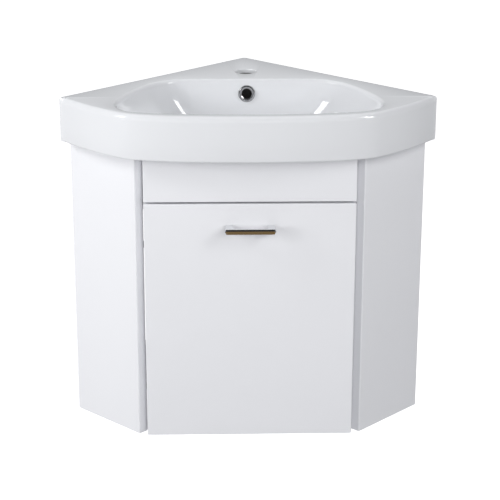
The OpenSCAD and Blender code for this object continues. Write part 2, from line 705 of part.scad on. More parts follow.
module handle_screws() {
    color(steel) for (s = [1, -1]) translate([s * handle_pitch / 2, -door_back, handle_z])
        z_to_minus_y() pan_screw(2, door_t + 10, 4.2, 2.2);
}

basin();
overflow_ring();
seal_strip();
left_end_panel();
right_end_panel();
bottom_panel();
left_upper_rail();
right_upper_rail();
left_lower_rail();
right_lower_rail();
corner_post();
front_rail();
false_front();
front_screws();
dowels();
cam_locks();
cam_bolts();
angle_brackets();
bracket_screws();
rail_screws();
door_bumpers();
hinge_plates();
plate_screws();
hinge_arms();
arm_screws();
door_panel();
handle();
handle_screws();
hinge_cups();
cup_screws();
hinge_pins();
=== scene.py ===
import math
import bpy
from mathutils import Matrix, Vector


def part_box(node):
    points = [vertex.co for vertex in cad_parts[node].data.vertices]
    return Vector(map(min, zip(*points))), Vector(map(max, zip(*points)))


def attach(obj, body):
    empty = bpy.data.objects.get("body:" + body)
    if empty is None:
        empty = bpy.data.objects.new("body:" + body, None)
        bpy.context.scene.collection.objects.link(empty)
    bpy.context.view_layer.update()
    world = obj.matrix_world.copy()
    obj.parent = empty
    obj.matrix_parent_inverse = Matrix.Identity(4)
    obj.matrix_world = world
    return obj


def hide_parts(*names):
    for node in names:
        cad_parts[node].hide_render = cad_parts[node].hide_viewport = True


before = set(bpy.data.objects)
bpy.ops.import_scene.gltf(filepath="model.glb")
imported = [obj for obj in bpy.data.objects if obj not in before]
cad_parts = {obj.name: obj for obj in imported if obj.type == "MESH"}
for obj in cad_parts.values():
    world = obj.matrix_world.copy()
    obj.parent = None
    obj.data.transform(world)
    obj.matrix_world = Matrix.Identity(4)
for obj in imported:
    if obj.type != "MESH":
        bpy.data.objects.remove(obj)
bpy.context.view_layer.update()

MM = 0.001
R2 = math.sqrt(2)


# ---------- sizes, in millimetres ----------
def span(node):
    """A CAD node's lowest and highest corner."""
    lo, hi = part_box(node)
    return lo / MM, hi / MM


BASIN_LO, BASIN_HI = span("basin")
DOOR_LO, DOOR_HI = span("door_panel")
FALSE_LO, FALSE_HI = span("false_front")
PIN_LO, PIN_HI = span("hinge_pins")
HANDLE_LO, HANDLE_HI = span("handle")
SCREW_LO, SCREW_HI = span("front_screws")
BASIN_TOP = BASIN_HI.z
SKIRT = span("seal_strip")[1].z              # underside of the apron
BOSS_Z = BASIN_LO.z                          # underside of the waste boss
TIP_OUT = 1.6                                # how far the side tips are rounded outwards
TIP = BASIN_HI.x - TIP_OUT
BULGE = 140.8                                # the apron in front of the side tips
FRONT_Y = TIP + BULGE
DRAWN_TIP = 297.7                            # the basin's outlines are drawn for this tip,
DRAWN_BACK = 177.0                           # this distance from the corner to the bowl
DRAWN_LEN = 235.5                            # and this length of the bowl
GROW = TIP / DRAWN_TIP
RIM_W = 26.0
BOWL_BACK = DRAWN_BACK * GROW
BOWL_LEN = FRONT_Y - RIM_W - BOWL_BACK
BOWL_DEPTH = 116.0
BOWL_ROLL = 7.0                              # roundings of the bowl's edge,
FRONT_ROUND = 10.0                           # of the deck's front edge,
WALL_ROUND = 2.0                             # of its edges at the walls
APEX_ROUND = 5.0                             # and of its corner in plan
ROUND_BLEND = 9.0                            # from a wall to the full front rounding
DECK_WALL = 14.0
APRON_WALL = 14.0
WASTE_Z = BASIN_TOP - BOWL_DEPTH
BOSS_R = 34.0
TAP_Y = 115.5
TAP_R = 17.5
TAP_LIP = 1.5
WASTE_R = 22.5
OVERFLOW_R = 11.0
OVERFLOW_Y = 179.46
OVERFLOW_Z = BASIN_TOP - 23.5
OVERFLOW_TILT = math.radians(8.4)
WALL_BOLT_D = 318.0
WALL_BOLT_Z = BASIN_TOP - 41.5
WALL_BOLT_R = 7.0
CUP_IN = 20.5                                # from the door's edge to the cups' axes
CUP_X = DOOR_LO.x + CUP_IN
CUP_R = 17.5
CUP_DEPTH = 12.5
CUP_SCREW_DX = 5.5
CUP_SCREW_X = CUP_X + CUP_SCREW_DX
CUP_SCREW_DZ = 24.0
CUP_SCREW_R = 1.8
CUP_SCREW_DEPTH = 12
PIN_HALF = 8.4
HINGE_Z = (PIN_LO.z + PIN_HALF, PIN_HI.z - PIN_HALF)
HANDLE_Z = (HANDLE_LO.z + HANDLE_HI.z) / 2
HANDLE_PITCH = 64.0
HANDLE_FOOT = 13.0
HANDLE_BAR = 5.5
HANDLE_POINT = 2.0
HANDLE_THREAD_R = 2.05
HANDLE_THREAD_DEPTH = 10.5
HANDLE_HOLE_R = 2.25
FRONT_SCREW_HEAD_R = 4.0
FRONT_SCREW_R = 2.05
FRONT_SCREW_X = SCREW_HI.x - FRONT_SCREW_HEAD_R
FRONT_SCREW_INNER_X = 60
FRONT_SCREW_Z = (SCREW_LO.z + SCREW_HI.z) / 2
FRONT_SCREW_TIP = -SCREW_LO.y
PAST = 20                                    # length of a cutter that ends outside its piece
STAND_OUT = 5                                # how far a cutter stands in front of its piece

# ---------- edges and shading, with angles in degrees ----------
BEVEL_OVER = 40                              # sharper edges are rounded,
BEVEL_SEGMENTS = 3
FACE_WEIGHT = 100
BOARD_SMOOTH = 40                            # and flatter ones than these shade smooth
BASIN_SMOOTH = 38
HANDLE_SMOOTH = 8


# ---------- materials ----------
class Finish:
    """A Principled material, with noise in object space on its colour, roughness and surface."""

    COAT_ROUGH = 0.03
    NOISE_LOW = 0.3                          # the range where most of a noise's values lie
    NOISE_HIGH = 0.7

    def __init__(self, name, color, rough, metal=0.0, coat=0.0):
        self.mat = bpy.data.materials.new(name)
        self.mat.use_nodes = True
        self.mat.diffuse_color = (*color, 1)
        self.tree = self.mat.node_tree
        self.shader = self.tree.nodes["Principled BSDF"]
        self.color = color
        self.set("Base Color", (*color, 1))
        self.set("Roughness", rough)
        self.set("Metallic", metal)
        self.set("Coat Weight", coat)
        self.set("Coat Roughness", self.COAT_ROUGH)
        self.coords = self.tree.nodes.new("ShaderNodeTexCoord").outputs["Object"]

    def set(self, socket, value):
        self.shader.inputs[socket].default_value = value

    def link(self, a, b):
        self.tree.links.new(a, b)

    def noise(self, scale, detail=3.0, stretch=(1, 1, 1)):
        """The noise's value; scale is in waves per metre."""
        place = self.tree.nodes.new("ShaderNodeMapping")
        place.inputs["Scale"].default_value = stretch
        self.link(self.coords, place.inputs["Vector"])
        tex = self.tree.nodes.new("ShaderNodeTexNoise")
        tex.inputs["Scale"].default_value = scale
        tex.inputs["Detail"].default_value = detail
        self.link(place.outputs["Vector"], tex.inputs["Vector"])
        return tex.outputs["Fac"]

    def cells(self, scale):
        """A random value for each cell; scale is in cells per metre."""
        tex = self.tree.nodes.new("ShaderNodeTexVoronoi")
        tex.inputs["Scale"].default_value = scale
        self.link(self.coords, tex.inputs["Vector"])
        split = self.tree.nodes.new("ShaderNodeSeparateColor")
        self.link(tex.outputs["Color"], split.inputs["Color"])
        return split.outputs["Red"]

    def ramp(self, value, stops):
        """A colour for a value, from (position, colour) stops."""
        node = self.tree.nodes.new("ShaderNodeValToRGB")
        line = node.color_ramp
        line.elements[0].position = stops[0][0]
        line.elements[0].color = (*stops[0][1], 1)
        line.elements[1].position = stops[-1][0]
        line.elements[1].color = (*stops[-1][1], 1)
        for at, color in stops[1:-1]:
            line.elements.new(at).color = (*color, 1)
        self.link(value, node.inputs["Fac"])
        return node.outputs["Color"]

    def tint(self, value, change):
        """Colour from darker to lighter by a share each way."""
        dark = tuple(c * (1 - change) for c in self.color)
        light = tuple(min(1.0, c * (1 + change)) for c in self.color)
        shades = self.ramp(value, [(self.NOISE_LOW, dark), (self.NOISE_HIGH, light)])
        self.link(shades, self.shader.inputs["Base Color"])
        return self

    def rough(self, value, low, high):
        """Roughness between two values."""
        node = self.tree.nodes.new("ShaderNodeMapRange")
        node.inputs["From Min"].default_value = self.NOISE_LOW
        node.inputs["From Max"].default_value = self.NOISE_HIGH
        node.inputs["To Min"].default_value = low
        node.inputs["To Max"].default_value = high
        self.link(value, node.inputs["Value"])
        self.link(node.outputs["Result"], self.shader.inputs["Roughness"])
        return self

    def bump(self, value, strength, height):
        """Unevenness of a height in metres."""
        node = self.tree.nodes.new("ShaderNodeBump")
        node.inputs["Strength"].default_value = strength
        node.inputs["Distance"].default_value = height
        self.link(value, node.inputs["Height"])
        self.link(node.outputs["Normal"], self.shader.inputs["Normal"])
        return self


GLAZE = Finish("white_glaze", (0.76, 0.77, 0.79), 0.05, coat=0.3)
GLAZE.tint(GLAZE.noise(12), 0.004).rough(GLAZE.noise(35), 0.035, 0.06)
GLAZE.bump(GLAZE.noise(11, 1.0), 0.04, 0.001)
LACQUER = Finish("white_lacquer", (0.83, 0.835, 0.86), 0.22)
LACQUER.tint(LACQUER.noise(9), 0.004).rough(LACQUER.noise(60), 0.19, 0.25)
LACQUER.bump(LACQUER.noise(900, 1.0), 0.03, 0.00005)
CHROME = Finish("polished_chrome", (0.80, 0.81, 0.82), 0.07, metal=1.0)
CHROME.tint(CHROME.noise(60), 0.02).rough(CHROME.noise(300, 4.0), 0.045, 0.09)
# satin metal for the overflow ring, its colour darkened as a painted dark reflection
NICKEL_PAINTED_DARK = Finish("satin_metal_painted_dark_reflection", (0.46, 0.46, 0.47), 0.22, metal=1.0)
NICKEL_PAINTED_DARK.tint(NICKEL_PAINTED_DARK.noise(200), 0.05).rough(NICKEL_PAINTED_DARK.noise(500, 4.0), 0.17, 0.27)
ZINC = Finish("plated_steel", (0.62, 0.63, 0.64), 0.32, metal=1.0)
ZINC.tint(ZINC.cells(450), 0.06).rough(ZINC.noise(700, 4.0), 0.25, 0.42)
SILICONE = Finish("silicone", (0.72, 0.73, 0.74), 0.5)
SILICONE.tint(SILICONE.noise(40), 0.02).rough(SILICONE.noise(90), 0.42, 0.6)
SILICONE.bump(SILICONE.noise(120), 0.2, 0.0004)
BUFFER = Finish("clear_buffer", (0.80, 0.82, 0.84), 0.3)
BUFFER.set("Subsurface Weight", 0.4)
BUFFER.set("Subsurface Scale", 0.003)
BUFFER.tint(BUFFER.noise(200), 0.02).rough(BUFFER.noise(400), 0.22, 0.38)
WOOD = Finish("raw_wood", (0.62, 0.47, 0.29), 0.65)
ALONG_Z = (1, 1, 0.06)
GRAIN = WOOD.noise(160, 5.0, ALONG_Z)
WOOD_SHADES = [(0.30, (0.44, 0.30, 0.17)), (0.55, (0.62, 0.47, 0.29)), (0.75, (0.70, 0.56, 0.37))]
WOOD.link(WOOD.ramp(GRAIN, WOOD_SHADES), WOOD.shader.inputs["Base Color"])
WOOD.rough(GRAIN, 0.6, 0.75).bump(GRAIN, 0.3, 0.0003)
CORE = Finish("board_core", (0.52, 0.40, 0.26), 0.85)
CORE.tint(CORE.cells(500), 0.25).bump(CORE.noise(900), 0.5, 0.0004)
# near-black colour: painted shade in the tap hole's bore and on the cut faces of the hollows,
# overflow and bolt holes
CLAY_PAINTED_SHADE = Finish("clay_painted_shade", (0.16, 0.16, 0.155), 0.8)
CLAY_PAINTED_SHADE.tint(CLAY_PAINTED_SHADE.noise(300), 0.08).bump(CLAY_PAINTED_SHADE.noise(700), 0.3, 0.0002)

LACQUERED = ("left_end_panel", "right_end_panel", "bottom_panel", "left_upper_rail",
             "right_upper_rail", "left_lower_rail", "right_lower_rail", "front_rail",
             "false_front", "door_panel")
NODE_FINISH = {"basin": GLAZE, "overflow_ring": NICKEL_PAINTED_DARK, "seal_strip": SILICONE, "handle": CHROME,
               "hinge_pins": CHROME, "door_bumpers": BUFFER, "corner_post": WOOD, "dowels": WOOD}
for name in LACQUERED:
    NODE_FINISH[name] = LACQUER
for name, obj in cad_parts.items():
    obj.data.materials.clear()
    obj.data.materials.append(NODE_FINISH.get(name, ZINC).mat)


# ---------- mesh helpers ----------
def mesh_object(name, verts, faces, finish):
    """A mesh object from points in millimetres."""
    me = bpy.data.meshes.new(name)
    me.from_pydata([tuple(c * MM for c in v) for v in verts], [], faces)
    me.validate()
    o = bpy.data.objects.new(name, me)
    bpy.context.scene.collection.objects.link(o)
    me.materials.append(finish.mat)
    return o


def settle(o, angle=None):
    """Applies the modifiers, and smooths the edges flatter than an angle."""
    dg = bpy.context.evaluated_depsgraph_get()
    me = bpy.data.meshes.new_from_object(o.evaluated_get(dg))
    old = o.data
    o.modifiers.clear()
    o.data = me
    bpy.data.meshes.remove(old)
    me.name = o.name
    if angle:
        me.polygons.foreach_set("use_smooth", [True] * len(me.polygons))
        me.set_sharp_from_angle(angle=math.radians(angle))
    return o


def prism(name, plan, z0, z1, finish):
    """An upright solid on a plan."""
    n = len(plan)
    v = [(x, y, z0) for x, y in plan] + [(x, y, z1) for x, y in plan]
    f = [tuple(reversed(range(n))), tuple(range(n, 2 * n))]
    f += [(i, (i + 1) % n, n + (i + 1) % n, n + i) for i in range(n)]
    return mesh_object(name, v, f, finish)


def lathe(name, profile, finish, n=64):
    """Turns (radius, height) points about Z, and closes both ends flat."""
    v, f, m = [], [], len(profile)
    for i in range(n):
        a = 2 * math.pi * i / n
        v += [(r * math.cos(a), r * math.sin(a), z) for r, z in profile]
    for i in range(n):
        j = (i + 1) % n
        for k in range(m - 1):
            f.append((i * m + k, j * m + k, j * m + k + 1, i * m + k + 1))
    f.append(tuple(reversed(range(0, n * m, m))))
    f.append(tuple(range(m - 1, n * m, m)))
    return mesh_object(name, v, f, finish)


def cylinder(p, d, r, h, finish, n=48):
    """A cylinder of height h from point p along direction d."""
    o = lathe("cutter", [(r, 0), (r, h)], finish, n)
    turn = Vector((0, 0, 1)).rotation_difference(Vector(d)).to_matrix().to_4x4()
    o.data.transform(Matrix.Translation(Vector(p) * MM) @ turn)
    return o


def cut(o, cutters):
    """Takes the cutters out of o; a cut face keeps its cutter's material."""
    for c in cutters:
        m = o.modifiers.new("cut", "BOOLEAN")
        m.operation = "DIFFERENCE"
        m.solver = "EXACT"
        m.material_mode = "TRANSFER"
        m.object = c
    settle(o)
    for c in cutters:
        me = c.data
        bpy.data.objects.remove(c)
        bpy.data.meshes.remove(me)
    return o


def bevel(o, width):
    """Rounds the edges by a width in millimetres."""
    m = o.modifiers.new("bevel", "BEVEL")
    m.width = width * MM
    m.segments = BEVEL_SEGMENTS
    m.limit_method = "ANGLE"
    m.angle_limit = math.radians(BEVEL_OVER)
    return settle(o)


def flatten(o):
    """Smooth rounded edges between faces that shade flat."""
    settle(o, BOARD_SMOOTH)
    m = o.modifiers.new("normals", "WEIGHTED_NORMAL")
    m.keep_sharp = True
    m.weight = FACE_WEIGHT
    return settle(o)


def place(o, body, node, slot):
    """Puts o on a body in the place of a CAD node."""
    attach(o, body)
    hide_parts(node)


# ---------- basin: the CAD's outlines and section, with finer steps ----------
def curve(p, n):
    """Points of a cubic curve, without its first end."""
    out = []
    for k in range(1, n + 1):
        t = k / n
        u = 1 - t
        w = (u * u * u, 3 * u * u * t, 3 * u * t * t, t * t * t)
        out.append((sum(a * q[0] for a, q in zip(w, p)), sum(a * q[1] for a, q in zip(w, p))))
    return out


def whole(half):
    """A closed outline from its right half, which starts and ends on the middle line."""
    return half + [(-x, y) for x, y in reversed(half[1:-1])]


def ahead(x, share):
    """A point of the apron's outline: its drawn x, and its share of the bulge."""
    return (x * GROW, -TIP - BULGE * share)


def bowl_at(x, y):
    """A point of the bowl's outline, y forwards from its drawn back edge."""
    return (x * GROW, -BOWL_BACK - y * BOWL_LEN / DRAWN_LEN)


APEX_STEPS = 6
WALL_STEPS = 40
TIP_STEPS = 8
SIDE_STEPS = 55
FRONT_STEPS = 45
BACK_STEPS = 16
BOWL_STEPS = 40
TIP_ROUND = 3                                # where the wall's edge starts to round
BACK_HALF = 97                               # the bowl's straight back edge
BOWL_MIDDLE = 113                            # where the spokes of all rings meet
apex = []
for k in range(APEX_STEPS):
    a = math.radians(45) * k / (APEX_STEPS - 1)
    apex.append((APEX_ROUND * math.sin(a), APEX_ROUND * (math.cos(a) - R2)))
wall_from = apex[-1][0]
wall_to = TIP - TIP_ROUND
wall = []
for k in range(1, WALL_STEPS + 1):
    x = wall_from + (wall_to - wall_from) * k / WALL_STEPS
    wall.append((x, -x))
side_from = (TIP + 0.6, -TIP - 6.5)
tip_curve = curve([wall[-1], (TIP + 0.5, -TIP - 0.5), (TIP + 2.9, -TIP - 4.6), side_from],
                  TIP_STEPS)
shoulder = ahead(199, 0.786)
side = curve([side_from, ahead(289.5, 0.098), ahead(256.4, 0.477), shoulder], SIDE_STEPS)
front = curve([shoulder, ahead(172, 0.931), ahead(80, 1), ahead(0, 1)], FRONT_STEPS)
OUTER = whole(apex + wall + tip_curve + side + front)
BOWL_CURVES = (((BACK_HALF, 0), (107, 0), (129, 0), (155, 29)),
               ((155, 29), (165, 40), (210, 122), (206.5, 168.5)),
               ((206.5, 168.5), (204.5, 192), (193.5, 213), (165.5, 221)),
               ((165.5, 221), (127.5, 231.5), (56, DRAWN_LEN), (0, DRAWN_LEN)))
half_bowl = [bowl_at(BACK_HALF * k / BACK_STEPS, 0) for k in range(BACK_STEPS + 1)]
for points in BOWL_CURVES:
    half_bowl += curve([bowl_at(*p) for p in points], BOWL_STEPS)
BOWL = whole(half_bowl)
MID = Vector(bowl_at(0, BOWL_MIDDLE))
NEARLY = 1e-6
PARALLEL = 1e-9


def reach(poly, d):
    """Distance from MID to an outline in direction d."""
    best, n = 0.0, len(poly)
    for k in range(n):
        px, py = poly[k][0] - MID[0], poly[k][1] - MID[1]
        qx, qy = poly[(k + 1) % n][0] - MID[0], poly[(k + 1) % n][1] - MID[1]
        sx, sy = qx - px, qy - py
        den = d[0] * sy - d[1] * sx
        if abs(den) > PARALLEL:
            t = (px * sy - py * sx) / den
            u = (px * d[1] - py * d[0]) / den
            if t > best and -NEARLY <= u <= 1 + NEARLY:
                best = t
    return best


SPOKES = [Vector(p) - MID for p in reversed(OUTER)]
DIRS = [p.normalized() for p in SPOKES]
OUT_R = [p.length for p in SPOKES]
BOWL_R = [reach(BOWL, d) for d in DIRS]
OFF_WALL = []                                # 0 at a wall, 1 where the front rounding is full
for d, r in zip(DIRS, OUT_R):
    p = MID + d * r
    OFF_WALL.append(max(0.0, min(1.0, (-p[1] - abs(p[0])) / R2 / ROUND_BLEND)))


def ring_bowl(share, add, back, z):
    """The bowl's outline at a share of its size, widened, shifted back, at a height."""
    return [(MID[0] + d[0] * (share * b + add), MID[1] + back + d[1] * (share * b + add), z)
            for d, b in zip(DIRS, BOWL_R)]


def ring_round(r, back, z):
    """A circle."""
    return [(MID[0] + d[0] * r, MID[1] + back + d[1] * r, z) for d in DIRS]


def ring_outer(angle, low=None):
    """The outline, drawn in by the rounding at an angle; at the top edge, or at height low."""
    t = math.radians(angle)
    out = []
    for d, o, w in zip(DIRS, OUT_R, OFF_WALL):
        r = WALL_ROUND + (FRONT_ROUND - WALL_ROUND) * w
        q = o - r * (1 - math.cos(t))
        z = BASIN_TOP - r * (1 - math.sin(t)) if low is None else low
        out.append((MID[0] + d[0] * q, MID[1] + d[1] * q, z))
    return out


def smooth_rows(rows, steps):
    """Rows of numbers, with more rows on smooth curves between them."""
    out = []
    n = len(rows)
    for i in range(n - 1):
        four = rows[max(i - 1, 0)], rows[i], rows[i + 1], rows[min(i + 2, n - 1)]
        for k in range(steps):
            t = k / steps
            out.append([0.5 * (2 * b + (c - a) * t + (2 * a - 5 * b + 4 * c - d) * t * t
                               + (3 * b - a - 3 * c + d) * t ** 3) for a, b, c, d in zip(*four)])
    out.append(list(rows[-1]))
    return out


# the bowl's surface: share of its outline, backward shift, share of its depth
SECTION = [(0.36, 15, 0.94), (0.46, 15, 0.888), (0.56, 15, 0.815), (0.655, 15, 0.724),
           (0.735, 14, 0.625), (0.805, 11, 0.522), (0.865, 8, 0.418), (0.915, 5, 0.315),
           (0.955, 2.5, 0.211), (0.985, 0.5, 0.116), (1.0, 0, BOWL_ROLL / BOWL_DEPTH)]
SECTION_STEPS = 5
WASTE_BACK = 15
WASTE_Y = -MID[1] - WASTE_BACK
BORE_START = 19                              # inside the waste hole, so its cutter is clean
WASTE_DISH = ((BORE_START, 0), (WASTE_R, 0.2), (26, 0.6), (31, 2.6))     # radius, rise
ROLL_ANGLES = (15, 30, 45, 60, 75, 90)
EDGE_ANGLES = (90, 78, 66, 54, 42, 30, 18, 8, 0)
APRON_ROWS = ((0, 29), (0, 2.5), (20, 0.9), (33, 0))       # rounding angle, height on the skirt
UNDER_START = (0.745, 11, 13.5)              # share, widening and shift where the underside starts
UNDER = ((13, 10.5), (13, 8.5), (13, 6), (12, 2.5))        # wall thickness outwards and down
BOSS_ROWS = ((BOSS_R + 6, WASTE_Z - 8.5), (BOSS_R, WASTE_Z - 11.5), (BOSS_R, BOSS_Z + 2),
             (BOSS_R - 2, BOSS_Z))           # radius, height
rings = [ring_round(BORE_START, WASTE_BACK, BOSS_Z)]
for r, up in WASTE_DISH:
    rings.append(ring_round(r, WASTE_BACK, WASTE_Z + up))
for share, back, depth in smooth_rows(SECTION, SECTION_STEPS):
    rings.append(ring_bowl(share, 0, back, BASIN_TOP - BOWL_DEPTH * depth))
for a in ROLL_ANGLES:
    t = math.radians(a)
    rings.append(ring_bowl(1, BOWL_ROLL * (1 - math.cos(t)), 0,
                           BASIN_TOP - BOWL_ROLL * (1 - math.sin(t))))
rings += [ring_outer(a) for a in EDGE_ANGLES]
rings += [ring_outer(a, SKIRT + up) for a, up in APRON_ROWS]
rings.append(ring_bowl(*UNDER_START, SKIRT))
for row, (out, down) in reversed(list(zip(SECTION, UNDER))):
    rings.append(ring_bowl(row[0], out, row[1], BASIN_TOP - BOWL_DEPTH * row[2] - down))
rings += [ring_round(r, WASTE_BACK, z) for r, z in BOSS_ROWS]
N = len(DIRS)
verts = [p for ring in rings for p in ring]
faces = []
for j in range(len(rings)):
    j2 = (j + 1) % len(rings)
    for k in range(N):
        k2 = (k + 1) % N
        faces.append((j2 * N + k, j2 * N + k2, j * N + k2, j * N + k))
basin = mesh_object("basin_casting", verts, faces, GLAZE)

# the tap hole: a rounded, glazed lip, and under it the bore in painted shade
# depth below the top where the bore's painted shade begins
PAINTED_SHADE_DEPTH = 5.2
HOLE_SIDES = 96
BOLT_SIDES = 32
OVER = 1                                     # how far a cutter passes a face, a little
CLEAR = 4                                    # or more
WASTE_OVER = 8
lip = [(TAP_R, -PAINTED_SHADE_DEPTH - OVER)]
for a in range(0, 91, 15):
    t = math.radians(a)
    lip.append((TAP_R + TAP_LIP * (1 - math.cos(t)), -TAP_LIP + TAP_LIP * math.sin(t)))
lip.append((TAP_R + TAP_LIP, CLEAR))
lip_cutter = lathe("cutter", lip, GLAZE, HOLE_SIDES)
lip_cutter.data.transform(Matrix.Translation(Vector((0, -TAP_Y, BASIN_TOP)) * MM))
bore_cutter = cylinder((0, -TAP_Y, BASIN_TOP - DECK_WALL - CLEAR), (0, 0, 1), TAP_R,
                       DECK_WALL + CLEAR - PAINTED_SHADE_DEPTH, CLAY_PAINTED_SHADE, HOLE_SIDES)
waste_cutter = cylinder((0, -WASTE_Y, BOSS_Z - OVER), (0, 0, 1), WASTE_R,
                        WASTE_Z - BOSS_Z + WASTE_OVER, GLAZE, HOLE_SIDES)
over_dir = Vector((0, math.cos(OVERFLOW_TILT), -math.sin(OVERFLOW_TILT)))
over_at = Vector((0, -OVERFLOW_Y, OVERFLOW_Z))
OVERFLOW_BEHIND = 8
OVERFLOW_CUT = 30
INSIDE_APRON = APRON_WALL * R2


def inside_apron(x):
    """A point on the inner side of the casting's walls along the room's walls."""
    return (x * GROW, -abs(x) * GROW - INSIDE_APRON)


def hollow(plan):
    """A space under the deck, open below; its cut faces are in painted shade."""
    return prism("cutter", plan, SKIRT - OVER, BASIN_TOP - DECK_WALL, CLAY_PAINTED_SHADE)


rear = [inside_apron(-10), inside_apron(-143), bowl_at(-120, -12), bowl_at(120, -12),
        inside_apron(143), inside_apron(10)]
right_side = [inside_apron(172), bowl_at(172, 26), bowl_at(181, 43), bowl_at(192, 63),
              bowl_at(208, 95), bowl_at(217, 123), bowl_at(222, 144), inside_apron(262)]
left_side = [(-x, y) for x, y in reversed(right_side)]
# the overflow and bolt holes' cut faces are also in painted shade
cutters = [lip_cutter, bore_cutter, waste_cutter,
           cylinder(over_at - over_dir * OVERFLOW_BEHIND, over_dir, OVERFLOW_R, OVERFLOW_CUT, CLAY_PAINTED_SHADE),
           hollow(rear), hollow(right_side), hollow(left_side)]
for s in (1, -1):
    x = WALL_BOLT_D / R2
    cutters.append(cylinder((s * (x + OVER), -x + OVER, WALL_BOLT_Z), (-s / R2, -1 / R2, 0),
                            WALL_BOLT_R, APRON_WALL + CLEAR, CLAY_PAINTED_SHADE, BOLT_SIDES))
cut(basin, cutters)
settle(basin, BASIN_SMOOTH)
place(basin, "cabinet", "basin", "white_glaze")


# ---------- door and false front ----------
BACKWARD = (0, 1, 0)
BOARD_EDGE = 1.2
EDGE_BAND = Vector((0.4, 0, 0))              # edging on the boards' side edges
CUP_SIDES = 64
SMALL_HOLE_SIDES = 24
THROUGH = 30                                 # length of a cutter that passes the door
TIP_SPACE = 0.1                              # in front of the front screws' tips


def board(name, lo, hi, cutters):
    """A lacquered board with rounded edges, and holes that show its core."""
    lo = lo - EDGE_BAND
    hi = hi + EDGE_BAND
    plan = [(lo.x, lo.y), (hi.x, lo.y), (hi.x, hi.y), (lo.x, hi.y)]
    o = prism(name, plan, lo.z, hi.z, LACQUER)
    bevel(o, BOARD_EDGE)
    cut(o, cutters)
    return flatten(o)


cutters = []
for z in HINGE_Z:
    cutters.append(cylinder((CUP_X, DOOR_HI.y - CUP_DEPTH, z), BACKWARD, CUP_R, PAST, CORE,
                            CUP_SIDES))
    for s in (1, -1):
        at = (CUP_SCREW_X, DOOR_HI.y - CUP_SCREW_DEPTH, z + CUP_SCREW_DZ * s)
        cutters.append(cylinder(at, BACKWARD, CUP_SCREW_R, PAST, CORE, SMALL_HOLE_SIDES))
for s in (1, -1):
    at = (HANDLE_PITCH / 2 * s, DOOR_LO.y - STAND_OUT, HANDLE_Z)
    cutters.append(cylinder(at, BACKWARD, HANDLE_HOLE_R, THROUGH, CORE, SMALL_HOLE_SIDES))
door = board("door_leaf", DOOR_LO, DOOR_HI, cutters)
place(door, "door", "door_panel", "white_board")
cutters = []
for x in (-FRONT_SCREW_X, -FRONT_SCREW_INNER_X, FRONT_SCREW_INNER_X, FRONT_SCREW_X):
    at = (x, -FRONT_SCREW_TIP - TIP_SPACE, FRONT_SCREW_Z)
    cutters.append(cylinder(at, BACKWARD, FRONT_SCREW_R, PAST, CORE, SMALL_HOLE_SIDES))
strip = board("false_front_strip", FALSE_LO, FALSE_HI, cutters)
place(strip, "cabinet", "false_front", "white_board")

# ---------- handle: the bar's front has a sloping upper facet ----------
FACET_IN = 0.7
FACET_BACK = 0.7
FACET_FROM = 0.25                            # share of the half height
SLOT_HALF = 10
half = (HANDLE_HI.x - HANDLE_LO.x) / 2
half_h = (HANDLE_HI.z - HANDLE_LO.z) / 2


def handle_ring(y, low, mid, high, inset):
    """The bar's six-sided outline at a depth, its points' heights given."""
    flat_x = half - HANDLE_POINT
    return [(-half + inset, y, HANDLE_Z + mid), (-flat_x + inset, y, HANDLE_Z + low),
            (flat_x - inset, y, HANDLE_Z + low), (half - inset, y, HANDLE_Z + mid),
            (flat_x - inset, y, HANDLE_Z + high), (-flat_x + inset, y, HANDLE_Z + high)]


bar_back = HANDLE_LO.y + HANDLE_BAR
verts = handle_ring(HANDLE_LO.y, -half_h, 0, half_h * FACET_FROM, FACET_IN)
verts += handle_ring(HANDLE_LO.y + FACET_BACK, -half_h, 0, half_h, 0)
verts += handle_ring(HANDLE_HI.y, -half_h, 0, half_h, 0)
faces = [tuple(range(6)), tuple(reversed(range(12, 18)))]
for row in (0, 6):
    for k in range(6):
        k2 = (k + 1) % 6
        faces.append((row + k2, row + k, row + 6 + k, row + 6 + k2))
grip = mesh_object("grip", verts, faces, CHROME)
inner = half - HANDLE_FOOT
behind = HANDLE_HI.y + STAND_OUT
plan = [(-inner, bar_back), (inner, bar_back), (inner, behind), (-inner, behind)]
cutters = [prism("cutter", plan, HANDLE_Z - SLOT_HALF, HANDLE_Z + SLOT_HALF, CHROME)]
for s in (1, -1):
    at = (HANDLE_PITCH / 2 * s, HANDLE_HI.y - HANDLE_THREAD_DEPTH, HANDLE_Z)
    cutters.append(cylinder(at, BACKWARD, HANDLE_THREAD_R, PAST, CHROME, SMALL_HOLE_SIDES))
cut(grip, cutters)
settle(grip, HANDLE_SMOOTH)
place(grip, "door", "handle", "chrome_trim")

# ---------- camera: millimetres, degrees, and pixels of a picture 500 wide ----------
PICTURE = 500
SENSOR = 36
CAM = {"pos": (-68.4, -2800.0, 1134.2), "yaw": 1.75, "pitch": 18.76, "roll": -0.18,
       "f": 1614.2, "shx": 0.0064, "shy": 0.0}
cam_data = bpy.data.cameras.new("camera")
cam = bpy.data.objects.new("camera", cam_data)
bpy.context.scene.collection.objects.link(cam)
bpy.context.scene.camera = cam
cam.location = Vector(CAM["pos"]) * MM
yaw, pitch, roll = (math.radians(CAM[k]) for k in ("yaw", "pitch", "roll"))
fwd = Vector((math.sin(yaw) * math.cos(pitch), math.cos(yaw) * math.cos(pitch), -math.sin(pitch)))
right = Vector((math.cos(yaw), -math.sin(yaw), 0))
down = fwd.cross(right)
image_x = right * math.cos(roll) + down * math.sin(roll)
image_y = down * math.cos(roll) - right * math.sin(roll)
cam.rotation_mode = "QUATERNION"
cam.rotation_quaternion = Matrix((image_x, -image_y, -fwd)).transposed().to_quaternion()
cam_data.sensor_width = SENSOR
cam_data.lens = CAM["f"] / PICTURE * SENSOR
cam_data.shift_x = -CAM["shx"]
cam_data.shift_y = CAM["shy"]
cam_data.clip_start = 0.05
cam_data.clip_end = 50

# ---------- light ----------
AIM = Vector((0, -0.30, 0.50))


